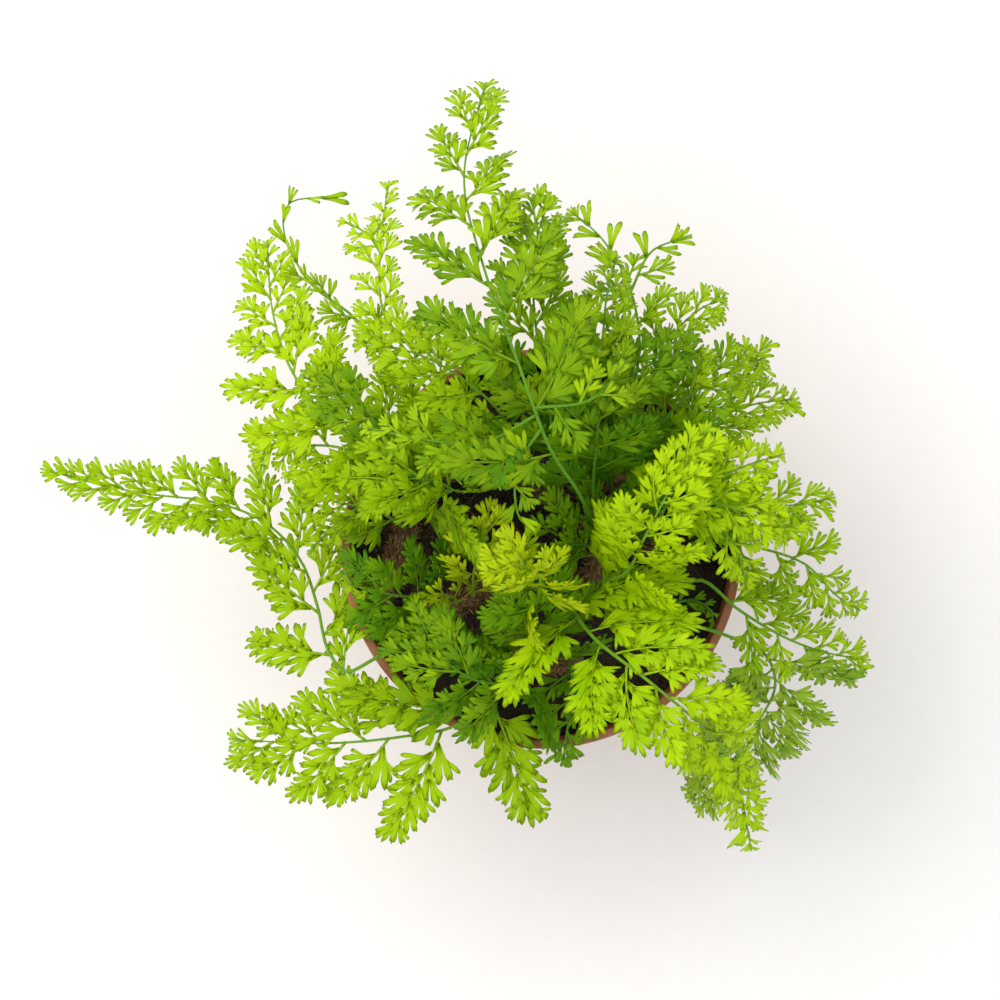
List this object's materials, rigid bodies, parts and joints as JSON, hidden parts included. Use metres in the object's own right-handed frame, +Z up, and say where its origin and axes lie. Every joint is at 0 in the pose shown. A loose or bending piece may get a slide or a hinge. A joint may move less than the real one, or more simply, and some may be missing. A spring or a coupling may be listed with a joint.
{
  "type": "potted fern",
  "caption": "Round tapered nursery pot of soil with creeping rhizomes and a loose mound of finely divided lacy fronds that arch over and past its rim.",
  "frame": {"origin": "centre of the underside of the pot's base, on the surface that the pot stands on", "axes": "+Z up along the pot's axis; +X and +Y level, with the longest frond pointing along -X and the tallest one leaning along +Y"},
  "size_m": [0.2527, 0.2363, 0.1663],
  "materials": {
    "pot_plastic": "thin terracotta-brown moulded plastic, satin",
    "peat": "dark brown peat with fibres and crumbs, dull",
    "rhizome": "tan-brown scaly and hairy rhizome, dull",
    "young_leaf": "thin soft leaf, faint parallel veins, slight sheen, yellow-green new growth",
    "spring_leaf": "thin soft leaf, faint parallel veins, slight sheen, fresh light green",
    "green_leaf": "thin soft leaf, faint parallel veins, slight sheen, mid green",
    "deep_leaf": "thin soft leaf, faint parallel veins, slight sheen, deep green",
    "grey_leaf": "thin soft leaf, faint parallel veins, slight sheen, pale greyish green"
  },
  "bodies": {
    "root": {"pot": "pot_plastic", "soil": "peat", "rhizome_west": "rhizome", "rhizome_south_west": "rhizome", "rhizome_south": "rhizome", "rhizome_middle": "rhizome", "rhizome_north": "rhizome", "rhizome_east": "rhizome", "frond_bright_east": "spring_leaf", "frond_bright_south_east": "spring_leaf", "frond_young_middle": "young_leaf", "frond_young_north": "young_leaf", "frond_young_south_west": "young_leaf", "frond_tall_north": "green_leaf", "frond_north": "green_leaf", "frond_north_right": "green_leaf", "frond_north_west_broad": "green_leaf", "frond_north_west": "spring_leaf", "frond_curled": "green_leaf", "frond_west_broad": "spring_leaf", "frond_west_arch": "green_leaf", "frond_west_upper": "spring_leaf", "frond_rim_west": "green_leaf", "frond_inner_west": "green_leaf", "frond_slender_north_east": "green_leaf", "frond_north_east": "green_leaf", "frond_dark_north_east": "deep_leaf", "frond_east_shoulder": "green_leaf", "frond_east_upper": "green_leaf", "frond_east_fan": "spring_leaf", "frond_east_flat": "green_leaf", "frond_east_low": "green_leaf", "frond_rim_east": "green_leaf", "frond_hanging_east": "grey_leaf", "frond_long_west": "green_leaf", "frond_inner_left": "green_leaf", "frond_south_west": "green_leaf", "frond_inner_south_west": "green_leaf", "frond_inner_south": "deep_leaf", "frond_south_small": "deep_leaf", "frond_inner_dark": "deep_leaf", "frond_inner_north_east": "deep_leaf", "frond_rim_shoot": "deep_leaf"}
  },
  "joints": []
}
